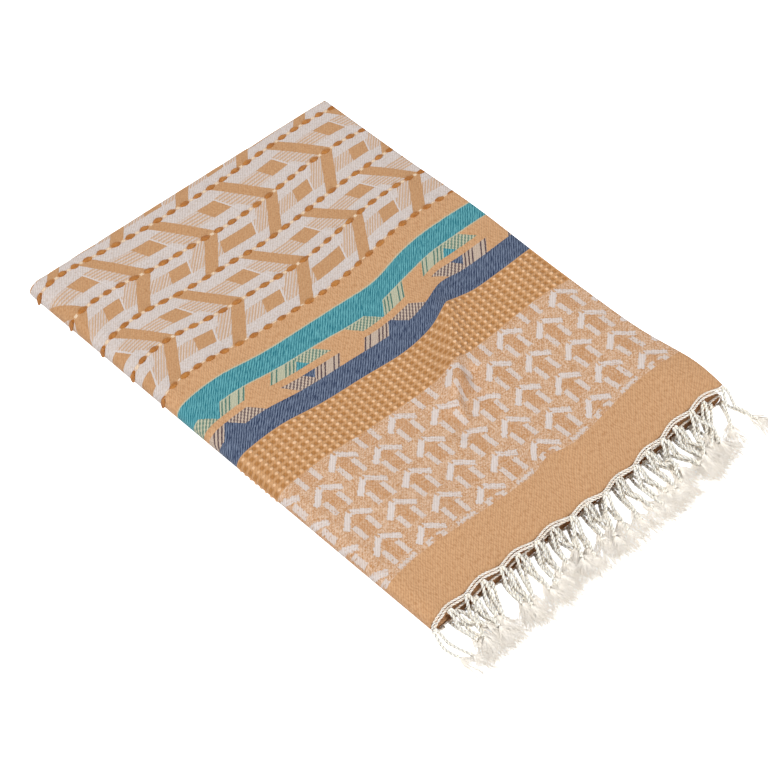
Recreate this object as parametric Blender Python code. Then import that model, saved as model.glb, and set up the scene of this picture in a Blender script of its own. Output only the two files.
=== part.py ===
"""A hammam towel, folded flat: one woven cotton cloth with a knotted fringe at each of its two ends.

The cloth is folded twice. The crosswise fold lays its length back and forth in a band of four layers,
with both hems at the front. The lengthwise fold then lays that band's width in three runs, the top one last.
A point of the flat cloth goes through the crosswise fold, which gives its place front to back and its
height in the band, and then through the lengthwise fold, which gives its place side to side and its
height above the floor. Metres, +Z up, front at -Y, the fold that wraps the stack at -X.
"""

from collections import namedtuple
from math import copysign, cos, exp, hypot, pi, sin
from random import Random

import bmesh
import bpy

# The folded towel
FOLDED_WIDTH = 0.296
FOLDED_LENGTH = 0.4265
SHEET = 0.0010
LAYER_GAP = 0.00032
LAYERS = 4
RUNS = 3
BAND = LAYERS * SHEET + (LAYERS - 1) * LAYER_GAP

# How the folds turn
BACK_FOLD_REACH = 0.0045
INNER_FOLD_REACH = 0.0010
LEFT_FOLD_REACH = 0.0095
RIGHT_FOLD_REACH = (BAND + LAYER_GAP) / 2
RIGHT_FOLD_PEEK = 0.0012
FRONT_FOLD_SETBACK = 0.0060
UNDER_HEM_SETBACK = 0.0040
INNER_BACK_SETBACK = 0.0035
TUCKED_EDGE_SETBACK = 0.0040

# How unevenly the stack lies: its height swells and sinks by SETTLE, and its top sheet is slightly crowned
SETTLE = 0.02
SETTLE_WAVE_X = 0.42
SETTLE_WAVE_Y = 0.50
BACK_SPREAD = 0.012
HEM_WAVE = 0.0022
HEM_WAVE_PITCH = 0.230
HEM_WAVE_FADE = 0.060
UNDER_SHIFT_X = 0.0012
CROWN = 0.0018
CROWN_AT_HEM = 0.45
CROWN_LEFT_EDGE = 0.045
CROWN_EDGE = 0.026

# The fringe
STRIP_DEPTH = 0.0030
PARTING = 0.0003
STRAND_WIDTH = 0.0021
STRAND_HEIGHT = 0.0020
STRAND_REACH = 0.0405
STRAND_REACH_SPREAD = 0.0045
ROWS = 6
STRANDS_IN_A_ROW = 18
STRAND_PITCH = 0.00272
DROP_REACH = 0.017
SWAY = 0.0034
SWAY_FROM = 0.024
SWAY_LENGTH = 0.080
SWAY_PHASE_LENGTH = 0.45
SPLAY = 0.045
STRAND_CLEAR = 0.0006
STRAND_STATIONS = (0.0, 0.006, 0.012, 0.019, 0.029)

# Where the legs stand in their folds' order
HEM_LAYER = 0
TOP_RUN = 0
BOTTOM_RUN = 2
MIDDLE_RUN = 4

CARAMEL = (0.672, 0.371, 0.162, 1.0)
NATURAL_WHITE = (0.775, 0.730, 0.672, 1.0)

Run = namedtuple("Run", "begin end level cells")
Turn = namedtuple("Turn", "begin reach level next_level cells")
Station = namedtuple("Station", "leg along up normal_along normal_up")
Ridge = namedtuple("Ridge", "x0 y0 x1 y1 width height")

# Soft ridges of the top sheet, measured from the folded towel's front left corner
RIDGES = (
    Ridge(0.166, 0.132, 0.208, 0.196, width=0.019, height=0.0036),
    Ridge(0.208, 0.196, 0.232, 0.285, width=0.028, height=0.0015),
    Ridge(0.052, 0.060, 0.034, 0.330, width=0.026, height=0.0012),
    Ridge(0.120, 0.010, 0.170, 0.040, width=0.022, height=0.0010),
)


def clear_scene():
    for item in list(bpy.data.objects):
        bpy.data.objects.remove(item, do_unlink=True)


def smooth_step(share):
    share = min(1.0, max(0.0, share))
    return share * share * (3 - 2 * share)


def layer_level(layer):
    """Height of a layer's middle above its band's middle; layer 1 is the band's outer one."""
    return (LAYERS + 1 - 2 * layer) / 2 * (SHEET + LAYER_GAP)


def band_level(run):
    """Height of a run's middle above the floor; run 1 is the bottom one."""
    return BAND / 2 + (run - 1) * (BAND + LAYER_GAP)


def crosswise_legs():
    """From the upper hem back, round the back fold, and to and fro inside it to the under hem."""
    back = FOLDED_LENGTH - BACK_FOLD_REACH - SHEET / 2
    front = FRONT_FOLD_SETBACK + INNER_FOLD_REACH
    inner_back = back - INNER_BACK_SETBACK
    return (
        Run(0.0, back, layer_level(1), 24),
        Turn(back, BACK_FOLD_REACH, layer_level(1), layer_level(4), 6),
        Run(back, front, layer_level(4), 5),
        Turn(front, -INNER_FOLD_REACH, layer_level(4), layer_level(3), 4),
        Run(front, inner_back, layer_level(3), 5),
        Turn(inner_back, INNER_FOLD_REACH, layer_level(3), layer_level(2), 4),
        Run(inner_back, UNDER_HEM_SETBACK, layer_level(2), 5),
    )


def lengthwise_legs():
    """From the top run's selvedge left, round under the stack, and back in between."""
    left = LEFT_FOLD_REACH + BAND / 2
    right = FOLDED_WIDTH + RIGHT_FOLD_PEEK - BAND / 2 - RIGHT_FOLD_REACH
    return (
        Run(FOLDED_WIDTH, left, band_level(3), 18),
        Turn(left, -LEFT_FOLD_REACH, band_level(3), band_level(1), 7),
        Run(left, right, band_level(1), 4),
        Turn(right, RIGHT_FOLD_REACH, band_level(1), band_level(2), 5),
        Run(right, left + TUCKED_EDGE_SETBACK, band_level(2), 4),
    )


def station_at(legs, index, share, side):
    """The place on a leg's middle line, and the direction of its outer side."""
    leg = legs[index]
    if isinstance(leg, Run):
        heading = copysign(1.0, leg.end - leg.begin)
        along = leg.begin + share * (leg.end - leg.begin)
        return Station(index, along, leg.level, 0.0, side * heading)
    angle = pi * share
    half = (leg.level - leg.next_level) / 2
    along = leg.begin + leg.reach * sin(angle)
    up = leg.next_level + half + half * cos(angle)
    tangent = (leg.reach * cos(angle), -half * sin(angle))
    length = hypot(*tangent)
    return Station(index, along, up, -side * tangent[1] / length, side * tangent[0] / length)


def even_places(legs):
    """The (leg, share) places that divide each leg evenly."""
    places = [(0, 0.0)]
    for index, leg in enumerate(legs):
        places += [(index, (cell + 1) / leg.cells) for cell in range(leg.cells)]
    return places


def stations(legs, side):
    return [station_at(legs, index, share, side) for index, share in even_places(legs)]


def distance_to(ridge, x, y):
    """How far a point lies from a ridge's line."""
    run_x = ridge.x1 - ridge.x0
    run_y = ridge.y1 - ridge.y0
    share = ((x - ridge.x0) * run_x + (y - ridge.y0) * run_y) / (run_x * run_x + run_y * run_y)
    share = min(1.0, max(0.0, share))
    return hypot(x - ridge.x0 - share * run_x, y - ridge.y0 - share * run_y)


def top_sheet_lift(x, y):
    """How far the top sheet stands off the stack: a low crown, and soft ridges on it."""
    from_left = smooth_step((x - LEFT_FOLD_REACH - BAND / 2) / CROWN_LEFT_EDGE)
    from_right = smooth_step((FOLDED_WIDTH - x) / CROWN_EDGE)
    from_back = smooth_step((FOLDED_LENGTH - BACK_FOLD_REACH - SHEET / 2 - y) / CROWN_EDGE)
    from_hem = CROWN_AT_HEM + (1 - CROWN_AT_HEM) * smooth_step(y / CROWN_LEFT_EDGE)
    ridges = (row.height * exp(-(distance_to(row, x, y) / row.width) ** 2) for row in RIDGES)
    return from_left * from_right * from_back * (CROWN * from_hem + max(ridges))


def settled(x, y, z, lift_share):
    """Where a point of the neat stack lies once the towel has settled."""
    top = band_level(RUNS) + BAND / 2
    height_share = min(1.0, z / top)
    middle = FOLDED_WIDTH / 2
    spread = BACK_SPREAD * (y / FOLDED_LENGTH - 0.5)
    wave = HEM_WAVE * sin(2 * pi * x / HEM_WAVE_PITCH) * exp(-(max(0.0, y) / HEM_WAVE_FADE) ** 2)
    wave *= smooth_step(RUNS * height_share - RUNS + 1)
    scale = 1 + SETTLE * sin(2 * pi * x / SETTLE_WAVE_X) * cos(2 * pi * y / SETTLE_WAVE_Y)
    return (
        x + (x - middle) / middle * spread / 2 + UNDER_SHIFT_X * (1 - height_share),
        y + wave,
        z * scale + lift_share * top_sheet_lift(x, max(0.0, y)),
    )


def folded_point(across, lengthways, side):
    """A point of the cloth: its stations across and along it, and its offset to the outer side."""
    y = lengthways.along + lengthways.normal_along * side
    height = lengthways.up + lengthways.normal_up * side
    x = across.along + across.normal_along * height
    z = across.up + across.normal_up * height
    on_top = across.leg == TOP_RUN and lengthways.leg == HEM_LAYER
    return settled(x, y, z, 1.0 if on_top else 0.0)


def finished_object(name, shape, colour, roughness):
    bmesh.ops.recalc_face_normals(shape, faces=shape.faces)
    mesh = bpy.data.meshes.new(name)
    shape.to_mesh(mesh)
    shape.free()
    mesh.shade_smooth()
    material = bpy.data.materials.new(name)
    material.use_nodes = True
    surface = material.node_tree.nodes["Principled BSDF"]
    surface.inputs["Base Color"].default_value = colour
    surface.inputs["Roughness"].default_value = roughness
    surface.inputs["Metallic"].default_value = 0.0
    mesh.materials.append(material)
    made = bpy.data.objects.new(name, mesh)
    bpy.context.scene.collection.objects.link(made)
    return made


def make_cloth():
    """The cloth as a plate: an outer and an inner grid of points, closed along its four edges."""
    across = stations(lengthwise_legs(), side=-1)
    lengthways = stations(crosswise_legs(), side=1)
    shape = bmesh.new()
    grids = []
    for offset in (SHEET / 2, -SHEET / 2):
        grids.append([[shape.verts.new(folded_point(a, b, offset)) for b in lengthways] for a in across])
    outer, inner = grids
    last_a = len(across) - 1
    last_b = len(lengthways) - 1
    for i in range(last_a):
        for j in range(last_b):
            for grid in grids:
                shape.faces.new((grid[i][j], grid[i + 1][j], grid[i + 1][j + 1], grid[i][j + 1]))
    for i in range(last_a):
        for j in (0, last_b):
            shape.faces.new((outer[i][j], outer[i + 1][j], inner[i + 1][j], inner[i][j]))
    for j in range(last_b):
        for i in (0, last_a):
            shape.faces.new((outer[i][j], outer[i][j + 1], inner[i][j + 1], inner[i][j]))
    return finished_object("cloth", shape, CARAMEL, roughness=0.9)


def strand_roots(legs, rows):
    """The pairs of places between which strands leave the strip: a row of strands for each run."""
    half = STRAND_WIDTH / 2
    first = (FOLDED_WIDTH - (STRANDS_IN_A_ROW * ROWS - 1) * STRAND_PITCH) / 2
    roots = []
    for run_index, row in zip((TOP_RUN, MIDDLE_RUN, BOTTOM_RUN), rows):
        run = legs[run_index]
        for strand in range(STRANDS_IN_A_ROW):
            x = first + (strand * ROWS + row) * STRAND_PITCH
            shares = sorted((x + side - run.begin) / (run.end - run.begin) for side in (-half, half))
            if 0 < shares[0] and shares[1] < 1:
                roots.append(tuple((run_index, share) for share in shares))
    return sorted(roots)


def strip_places(legs, roots):
    """The strip's own stations: the even ones that lie in no root, and both sides of each root."""
    kept = [place for place in even_places(legs) if not any(low < place < high for low, high in roots)]
    return sorted(set(kept) | {place for root in roots for place in root})


def strand_loops(root, reach, lift):
    """Sections of one strand: level with its root at first, then down to the floor and along it."""
    middle_x = sum(x for x, z in root) / 4
    middle_z = sum(z for x, z in root) / 4
    lowest_z = middle_z - SHEET / 2
    clear_of_strips = -PARTING - STRIP_DEPTH - STRAND_CLEAR
    loops = []
    for forward in (*STRAND_STATIONS, reach):
        fall = smooth_step(forward / DROP_REACH)
        height = SHEET + (STRAND_HEIGHT - SHEET) * smooth_step(2 * forward / DROP_REACH)
        z = lowest_z * (1 - fall) + height / 2
        phase = 2 * pi * (forward / SWAY_LENGTH + middle_x / SWAY_PHASE_LENGTH)
        x = middle_x + SPLAY * (middle_x - FOLDED_WIDTH / 2) * forward / STRAND_REACH
        x += SWAY * smooth_step(forward / SWAY_FROM) * sin(phase)
        loop = []
        for corner_x, corner_z in root:
            half_width = copysign(STRAND_WIDTH / 2, corner_x - middle_x)
            half_height = copysign(height / 2, corner_z - middle_z)
            loop.append(settled(x + half_width, clear_of_strips - forward, z + half_height, lift * (1 - fall)))
        loops.append(loop)
    return loops


def draw_out(shape, root, loops):
    """Draw a strand out of its root's four corners through the loops of points, and close its end."""
    loop = root
    for points in loops:
        following = [shape.verts.new(point) for point in points]
        for corner in range(4):
            after = (corner + 1) % 4
            shape.faces.new((loop[corner], loop[after], following[after], following[corner]))
        loop = following
    shape.faces.new(loop)


def make_fringe(name, hem_y, layer, rows, seed):
    """A strip that follows a hem through all three runs, with strands drawn out of its front face."""
    legs = lengthwise_legs()
    roots = strand_roots(legs, rows)
    places = strip_places(legs, roots)
    rooted = {low for low, high in roots}
    random = Random(seed)
    shape = bmesh.new()
    front = hem_y - PARTING - STRIP_DEPTH
    back = hem_y - PARTING
    sections = []
    for index, share in places:
        station = station_at(legs, index, share, side=-1)
        lift = 1.0 if index == TOP_RUN and layer == 1 else 0.0
        section = []
        for y, offset in ((front, SHEET / 2), (front, -SHEET / 2), (back, -SHEET / 2), (back, SHEET / 2)):
            height = layer_level(layer) + offset
            x = station.along + station.normal_along * height
            z = station.up + station.normal_up * height
            section.append(((x, z), shape.verts.new(settled(x, y, z, lift))))
        sections.append((section, lift))
    for place, (section, lift), (following, _) in zip(places, sections, sections[1:]):
        for corner in (1, 2, 3):
            after = (corner + 1) % 4
            face = (section[corner], following[corner], following[after], section[after])
            shape.faces.new([vertex for _, vertex in face])
        front_face = (section[0], following[0], following[1], section[1])
        vertices = [vertex for _, vertex in front_face]
        if place in rooted:
            reach = STRAND_REACH + random.uniform(-1, 1) * STRAND_REACH_SPREAD
            draw_out(shape, vertices, strand_loops([point for point, _ in front_face], reach, lift))
        else:
            shape.faces.new(vertices)
    for section, _ in (sections[0], sections[-1]):
        shape.faces.new([vertex for _, vertex in section])
    return finished_object(name, shape, NATURAL_WHITE, roughness=0.95)


def stand_on_origin(pieces):
    """Move all pieces so that the middle of their common box's bottom is the origin."""
    points = [vertex.co for piece in pieces for vertex in piece.data.vertices]
    shift = [-(min(p[axis] for p in points) + max(p[axis] for p in points)) / 2 for axis in (0, 1)]
    for piece in pieces:
        for vertex in piece.data.vertices:
            vertex.co.x += shift[0]
            vertex.co.y += shift[1]


clear_scene()
stand_on_origin((
    make_cloth(),
    make_fringe("fringe_upper", 0.0, 1, (0, 2, 4), seed=3),
    make_fringe("fringe_under", UNDER_HEM_SETBACK, 2, (1, 3, 5), seed=8),
))
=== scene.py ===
"""The finished look of a hammam towel that lies folded flat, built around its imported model.

One cotton cloth is folded twice. The crosswise fold lays its length to and fro in a band of four layers,
with both hems at the front. The lengthwise fold lays that band's width in three runs, the top one last. A
point of the cloth is named by its distance across from the top run's selvedge, its distance along from the
upper hem, and how far it stands off the cloth's middle towards its outer face. The function `placed`
carries such points to where the folded towel holds them, and all that is on the cloth is laid out by them.
Metres, +Z up, hems at -Y, the fold that wraps the stack at -X.
"""

from collections import namedtuple
from functools import partialmethod
from math import copysign, cos, hypot, pi, radians, sin
from random import Random

import bmesh
import bpy
import numpy as np
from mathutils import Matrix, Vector


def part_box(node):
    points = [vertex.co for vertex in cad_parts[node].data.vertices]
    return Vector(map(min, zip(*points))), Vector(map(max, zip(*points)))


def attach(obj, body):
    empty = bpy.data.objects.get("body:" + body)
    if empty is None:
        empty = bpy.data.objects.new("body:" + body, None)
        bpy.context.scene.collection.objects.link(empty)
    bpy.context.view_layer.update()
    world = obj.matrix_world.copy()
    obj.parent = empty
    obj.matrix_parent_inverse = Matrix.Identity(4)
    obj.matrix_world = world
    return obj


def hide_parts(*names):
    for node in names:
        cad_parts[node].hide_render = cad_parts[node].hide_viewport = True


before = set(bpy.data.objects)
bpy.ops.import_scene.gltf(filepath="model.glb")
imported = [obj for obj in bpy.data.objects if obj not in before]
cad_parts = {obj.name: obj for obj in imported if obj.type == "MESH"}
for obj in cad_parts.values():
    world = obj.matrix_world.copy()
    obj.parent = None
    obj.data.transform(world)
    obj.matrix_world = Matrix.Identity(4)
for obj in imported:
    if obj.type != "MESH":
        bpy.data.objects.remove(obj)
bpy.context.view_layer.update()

MM = 0.001

# The folded towel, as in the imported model
FOLDED_WIDTH = 0.296
FOLDED_LENGTH = 0.4265
SHEET = 0.0010
LAYER_GAP = 0.00032
LAYERS = 4
RUNS = 3
BAND = LAYERS * SHEET + (LAYERS - 1) * LAYER_GAP
BACK_FOLD_REACH = 0.0045
INNER_FOLD_REACH = 0.0010
LEFT_FOLD_REACH = 0.0095
RIGHT_FOLD_REACH = (BAND + LAYER_GAP) / 2
RIGHT_FOLD_PEEK = 0.0012
FRONT_FOLD_SETBACK = 0.0060
UNDER_HEM_SETBACK = 0.0040
INNER_BACK_SETBACK = 0.0035
TUCKED_EDGE_SETBACK = 0.0040
TURN_STEPS = 24

# How the neat stack has settled: its waves, its spread towards the back, and the top sheet's crown
SETTLE = 0.02
SETTLE_WAVE_X = 0.42
SETTLE_WAVE_Y = 0.50
BACK_SPREAD = 0.012
UNDER_SHIFT_X = 0.0012
HEM_WAVE = 0.0022
HEM_WAVE_PITCH = 0.230
HEM_WAVE_FADE = 0.060
HEM_SCALLOP = 0.0011
HEM_SCALLOP_FADE = 0.008
CROWN = 0.0018
CROWN_AT_HEM = 0.45
CROWN_LEFT_EDGE = 0.045
CROWN_EDGE = 0.026

Run = namedtuple("Run", "begin end level cells")
Turn = namedtuple("Turn", "begin reach level next_level cells")
Crease = namedtuple("Crease", "x0 y0 x1 y1 width height")
Flare = namedtuple("Flare", "middle width reach")
Bow = namedtuple("Bow", "middle width")
Knot = namedtuple("Knot", "hem across point")
Way = namedtuple("Way", "heading bend length")
Cord = namedtuple("Cord", "hem route")

# Soft ridges of the top sheet, from the folded towel's front left corner, and the sharper crests and
# troughs that add up on them
RIDGES = (
    Crease(0.166, 0.132, 0.208, 0.196, width=0.024, height=0.0046),
    Crease(0.208, 0.196, 0.232, 0.285, width=0.028, height=0.0015),
    Crease(0.052, 0.060, 0.034, 0.330, width=0.026, height=0.0012),
    Crease(0.120, 0.010, 0.170, 0.040, width=0.022, height=0.0010),
)
CRIMPS = (
    Crease(0.157, 0.131, 0.203, 0.188, width=0.0080, height=0.0052),
    Crease(0.155, 0.128, 0.168, 0.144, width=0.0060, height=0.0024),
    Crease(0.161, 0.116, 0.173, 0.132, width=0.0060, height=-0.0068),
    Crease(0.142, 0.114, 0.150, 0.132, width=0.0055, height=0.0036),
    Crease(0.149, 0.109, 0.157, 0.125, width=0.0044, height=-0.0054),
    Crease(0.131, 0.099, 0.140, 0.113, width=0.0050, height=-0.0034),
)

# How far the top sheet's selvedge swings out beyond the stack, and how its front corner rises
FLARE_BEGIN = 0.200
FLARES = (Flare(0.034, 0.036, 0.0055), Flare(0.255, 0.060, 0.0024))
CORNER_RISE = 0.0030
CORNER_RISE_Y = 0.012
CORNER_RISE_WIDTH = 0.028

# The weft's bows: bulges of its threads, by the distance from the patterns' middle line. Each row of the
# table is a thread: its distance from the hem, a plain shift, and the height of each bow, in millimetres
PATTERN_MIDDLE = 0.1466
BOWS = (
    Bow(-0.125, 0.044),
    Bow(0.006, 0.034),
    Bow(0.036, 0.024),
    Bow(0.108, 0.052),
    Bow(0.150, 0.022),
    Bow(0.008, 0.015),
    Bow(-0.154, 0.018),
)
WEFT = np.array((
    (0.0, 2.0, 2.0, -1.0, 0, 2.3, -2.0, 0, 0),
    (43.0, -2.3, 4.6, -2.2, 0, 5.3, 0, 6.0, 0),
    (148.0, -1.2, 4.0, -2.0, 0, 4.7, 0, 0, 0),
    (187.0, -0.8, 7.9, -4.2, -0.8, 4.1, 3.9, 0, 0),
    (206.0, -1.6, 7.6, -3.0, -2.0, 5.9, 4.8, 0, 0),
    (234.5, -2.0, 7.1, -4.7, 0, 8.0, 4.2, 0, 0),
    (252.0, -1.0, 7.4, -1.5, -3.4, 7.9, 3.6, 0, -1.5),
    (268.5, 0.3, 7.0, -2.5, 0, 8.3, 2.5, 0, -3.5),
    (302.9, 0.3, 7.5, -2.2, 0, 7.5, 2.0, 0, -5.0),
    (337.3, 0.5, 6.2, -2.1, 0, 4.9, 4.5, 0, -4.5),
    (371.7, -0.9, 7.6, -1.9, 0, 6.8, 2.0, 0, -2.0),
    (406.1, 4.6, 6.5, -0.5, 0, 4.8, 0, 0, -3.0),
    (440.0, 2.0, 1.2, -0.6, 0, 1.4, 0, 0, 0),
    (600.0, 0, 0, 0, 0, 0, 0, 0, 0),
)) * MM

# One more bulge of the weft where it crosses the ridge, which leans with the ridge
SWELL = Bow(0.0655, 0.016)
SWELL_HEIGHT = 0.0046
SWELL_LEAN = 0.55
SWELL_ALONG = 0.197
SWELL_REACH = 0.026

# How the pattern is drawn in across the cloth: from both sides near the hem, from the left farther back
DRAWN_SHIFT = 0.00305
DRAWN_CURVE = 0.255
DRAWN_SIDES = (-0.13, 0.147)
FARTHER_BEGIN = 0.233
FARTHER_FADE = 0.035
FARTHER_SHIFT = -0.0056
FARTHER_SIDE = -0.085
FARTHER_WIDTH = 0.050

# The weave's bands, in millimetres from the hem; the cloth's far end mirrors its near end
HEM_TOP = 43.0
ARROWS_TOP = 148.0
WAFFLE_TOP = 187.0
NAVY_BAND = (186.0, 206.0)
NAVY_TEETH_TOP = 217.0
TEAL_TEETH_FOOT = 223.0
TEAL_BAND = (234.5, 252.0)
CHEVRONS_FOOT = 268.5
BAND_EDGES = (0.0, HEM_TOP, ARROWS_TOP, WAFFLE_TOP, CHEVRONS_FOOT)
MIDDLE_BAND_FOOT = 790.0
CELL = 0.0024

# How far the floats and beads stay off the top run's selvedge and off the left fold's end, and the short
# step over the cloth by which their directions are found
SOWN_MARGINS = (0.0035, 0.0030)
NUDGE = 0.0002

# The patterns' repeats, in millimetres: the twill all over, the arrows, the waffle's ribs and pits, the
# teeth between the blue bands, the chevrons between the dashed lines, and the dashes
TWILL_PITCH = 2.46
ARROW_TOP = 133.9
ARROW_STEP = 28.8
ARROW_FOOT = 47.4
ARROW_START = 126.0
ARROW_PITCH = 28.0
RIB_PITCH = 6.9
PIT_PITCH = 4.85
TOOTH_PITCH = 154.0
TOOTH_START = -56.5
TOOTH_SLOPE = 0.85
TOOTH_BARS = (1.6, 5.2, 8.8, 17.4, 21.8)
BAR_WIDTH = 1.4
DASHED_PITCH = 34.4
CHEVRON_PITCH = 62.2
CHEVRON_START = -13.6
CHEVRON_LEAN = 26.0
ARM_WIDTH = 12.4
DASH_PITCH = 12.97
DASH_START = 40.7

# The fringe: a knot at each step along both hems, two cords from each, and a tail on every cord. The cords
# of the lower runs look shorter than those of the top run, by these shares
FIRST_KNOT = 0.0026
FIRST_UNDER_KNOT = 0.0186
KNOT_PITCH = 0.0326
KNOT_REACH = 0.0030
KNOT_SIZE = 0.0040
CORD_RADIUS = 0.0013
CORD_FALL = 0.014
CORD_ASIDE = 0.0009
CORD_LENGTHS = (0.022, 0.029)
CORD_SHARES = {1: 0.72, 2: 0.86, 3: 1.0}
CORD_ANGLES = (0.14, 0.42)
CORD_BENDS = (-0.4, 0.4)
SIDE_POSTS = 0.11
TURNED_IN = 0.25
HEM_YARN_RADIUS = 0.0009

# How bright a level surface of full white is in this scene's light
LIGHT = 1.12


# ---- The folds


def smooth_step(share):
    share = np.clip(share, 0.0, 1.0)
    return share * share * (3 - 2 * share)


def bell(distance, width):
    return np.exp(-((distance / width) ** 2))


def layer_level(layer):
    """Height of a layer's middle above its band's middle; layer 1 is the band's outer one."""
    return (LAYERS + 1 - 2 * layer) / 2 * (SHEET + LAYER_GAP)


def band_level(run):
    """Height of a run's middle above the floor; run 1 is the bottom one."""
    return BAND / 2 + (run - 1) * (BAND + LAYER_GAP)


def crosswise_legs():
    """From the upper hem back, round the back fold, and to and fro inside it to the under hem."""
    back = FOLDED_LENGTH - BACK_FOLD_REACH - SHEET / 2
    front = FRONT_FOLD_SETBACK + INNER_FOLD_REACH
    inner_back = back - INNER_BACK_SETBACK
    first, second, third, last = (layer_level(layer) for layer in (1, 2, 3, 4))
    return (
        Run(0.0, back, first, 0),
        Turn(back, BACK_FOLD_REACH, first, last, 8),
        Run(back, front, last, 16),
        Turn(front, -INNER_FOLD_REACH, last, third, 4),
        Run(front, inner_back, third, 8),
        Turn(inner_back, INNER_FOLD_REACH, third, second, 4),
        Run(inner_back, UNDER_HEM_SETBACK, second, 8),
    )


def lengthwise_legs():
    """From the top run's selvedge left, round under the stack, and back in between."""
    left = LEFT_FOLD_REACH + BAND / 2
    right = FOLDED_WIDTH + RIGHT_FOLD_PEEK - BAND / 2 - RIGHT_FOLD_REACH
    return (
        Run(FOLDED_WIDTH, left, band_level(3), 122),
        Turn(left, -LEFT_FOLD_REACH, band_level(3), band_level(1), 14),
        Run(left, right, band_level(1), 22),
        Turn(right, RIGHT_FOLD_REACH, band_level(1), band_level(2), 6),
        Run(right, left + TUCKED_EDGE_SETBACK, band_level(2), 8),
    )


def turn_point(turn, angle, side):
    """A point on a turn's half-ellipse: its place, its height and its outer normal."""
    half = (turn.level - turn.next_level) / 2
    tangent = (turn.reach * cos(angle), -half * sin(angle))
    length = hypot(*tangent)
    return (
        turn.begin + turn.reach * sin(angle),
        turn.next_level + half + half * cos(angle),
        -side * tangent[1] / length,
        side * tangent[0] / length,
    )


class Line:
    """A fold's middle line seen end on: place, height and outer normal by distance along the cloth."""

    def __init__(self, legs, side):
        rows = []
        distance = 0.0
        self.ends = [0.0]
        self.divisions = [0.0]
        for leg in legs:
            if isinstance(leg, Run):
                normal = side * copysign(1.0, leg.end - leg.begin)
                traced = [(place, leg.level, 0.0, normal) for place in (leg.begin, leg.end)]
            else:
                angles = [pi * step / TURN_STEPS for step in range(TURN_STEPS + 1)]
                traced = [turn_point(leg, angle, side) for angle in angles]
            for before, after in zip([traced[0], *traced], traced):
                distance += hypot(after[0] - before[0], after[1] - before[1])
                rows.append((distance, *after))
            begin = self.ends[-1]
            length = distance - begin
            self.divisions += [begin + length * (cell + 1) / leg.cells for cell in range(leg.cells)]
            self.ends.append(distance)
        self.length = distance
        self.columns = np.array(rows).T
        self.ways = [copysign(1.0, leg.end - leg.begin) for leg in (legs[0], legs[-1])]

    def at(self, distance):
        """Place, height, and both parts of the outer normal; beyond its ends the cloth goes straight on."""
        known, *columns = self.columns
        place, *others = (np.interp(distance, known, column) for column in columns)
        place = place + self.ways[0] * np.minimum(distance, 0.0)
        place = place + self.ways[1] * np.maximum(distance - self.length, 0.0)
        return [place, *others]


ACROSS = Line(lengthwise_legs(), side=-1)
ALONG = Line(crosswise_legs(), side=1)
TOP_RUN_END = ACROSS.ends[1]
LEFT_FOLD_END = ACROSS.ends[2]
HEM_LAYER_END = ALONG.ends[1]


def crease_height(crease, x, y):
    """The crease's height on its line, falling off to both sides."""
    run_x = crease.x1 - crease.x0
    run_y = crease.y1 - crease.y0
    share = ((x - crease.x0) * run_x + (y - crease.y0) * run_y) / (run_x * run_x + run_y * run_y)
    share = np.clip(share, 0.0, 1.0)
    away = np.hypot(x - crease.x0 - share * run_x, y - crease.y0 - share * run_y)
    return crease.height * bell(away, crease.width)


def top_sheet_lift(x, y):
    """How far the top sheet stands off the stack: a low crown, soft ridges on it and pinches in it."""
    from_left = smooth_step((x - LEFT_FOLD_REACH - BAND / 2) / CROWN_LEFT_EDGE)
    from_right = smooth_step((FOLDED_WIDTH - x) / CROWN_EDGE)
    from_back = smooth_step((FOLDED_LENGTH - BACK_FOLD_REACH - SHEET / 2 - y) / CROWN_EDGE)
    from_hem = CROWN_AT_HEM + (1 - CROWN_AT_HEM) * smooth_step(y / CROWN_LEFT_EDGE)
    ridge = np.max([crease_height(crease, x, y) for crease in RIDGES], axis=0)
    crimp = np.sum([crease_height(crease, x, y) for crease in CRIMPS], axis=0)
    inner = from_left * from_right * from_back * np.maximum(0.0, CROWN * from_hem + ridge + crimp)
    from_corner = np.hypot(FOLDED_WIDTH - x, y - CORNER_RISE_Y)
    return inner + CORNER_RISE * bell(from_corner, CORNER_RISE_WIDTH)


def top_sheet_flare(x, y):
    """How far the top sheet's side swings out beyond the stack."""
    reach = sum(flare.reach * bell(y - flare.middle, flare.width) for flare in FLARES)
    return reach * smooth_step((x - FLARE_BEGIN) / (FOLDED_WIDTH - FLARE_BEGIN))


def settled(x, y, z, lift_share):
    """Where points of the neat stack lie once the towel has settled."""
    top = band_level(RUNS) + BAND / 2
    height_share = np.minimum(1.0, z / top)
    middle = FOLDED_WIDTH / 2
    spread = BACK_SPREAD * (y / FOLDED_LENGTH - 0.5)
    inward = np.maximum(0.0, y)
    wave = HEM_WAVE * np.sin(2 * pi * x / HEM_WAVE_PITCH) * bell(inward, HEM_WAVE_FADE)
    wave = wave * smooth_step(RUNS * height_share - RUNS + 1)
    from_knot = np.cos(2 * pi * (FOLDED_WIDTH - FIRST_KNOT - x) / KNOT_PITCH)
    scallop = HEM_SCALLOP * from_knot * bell(inward, HEM_SCALLOP_FADE)
    scale = 1 + SETTLE * np.sin(2 * pi * x / SETTLE_WAVE_X) * np.cos(2 * pi * y / SETTLE_WAVE_Y)
    aside = (x - middle) / middle * spread / 2 + UNDER_SHIFT_X * (1 - height_share)
    return np.stack((
        x + aside + lift_share * top_sheet_flare(x, inward),
        y + wave - lift_share * scallop,
        z * scale + lift_share * top_sheet_lift(x, inward),
    ), axis=-1)


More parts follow.
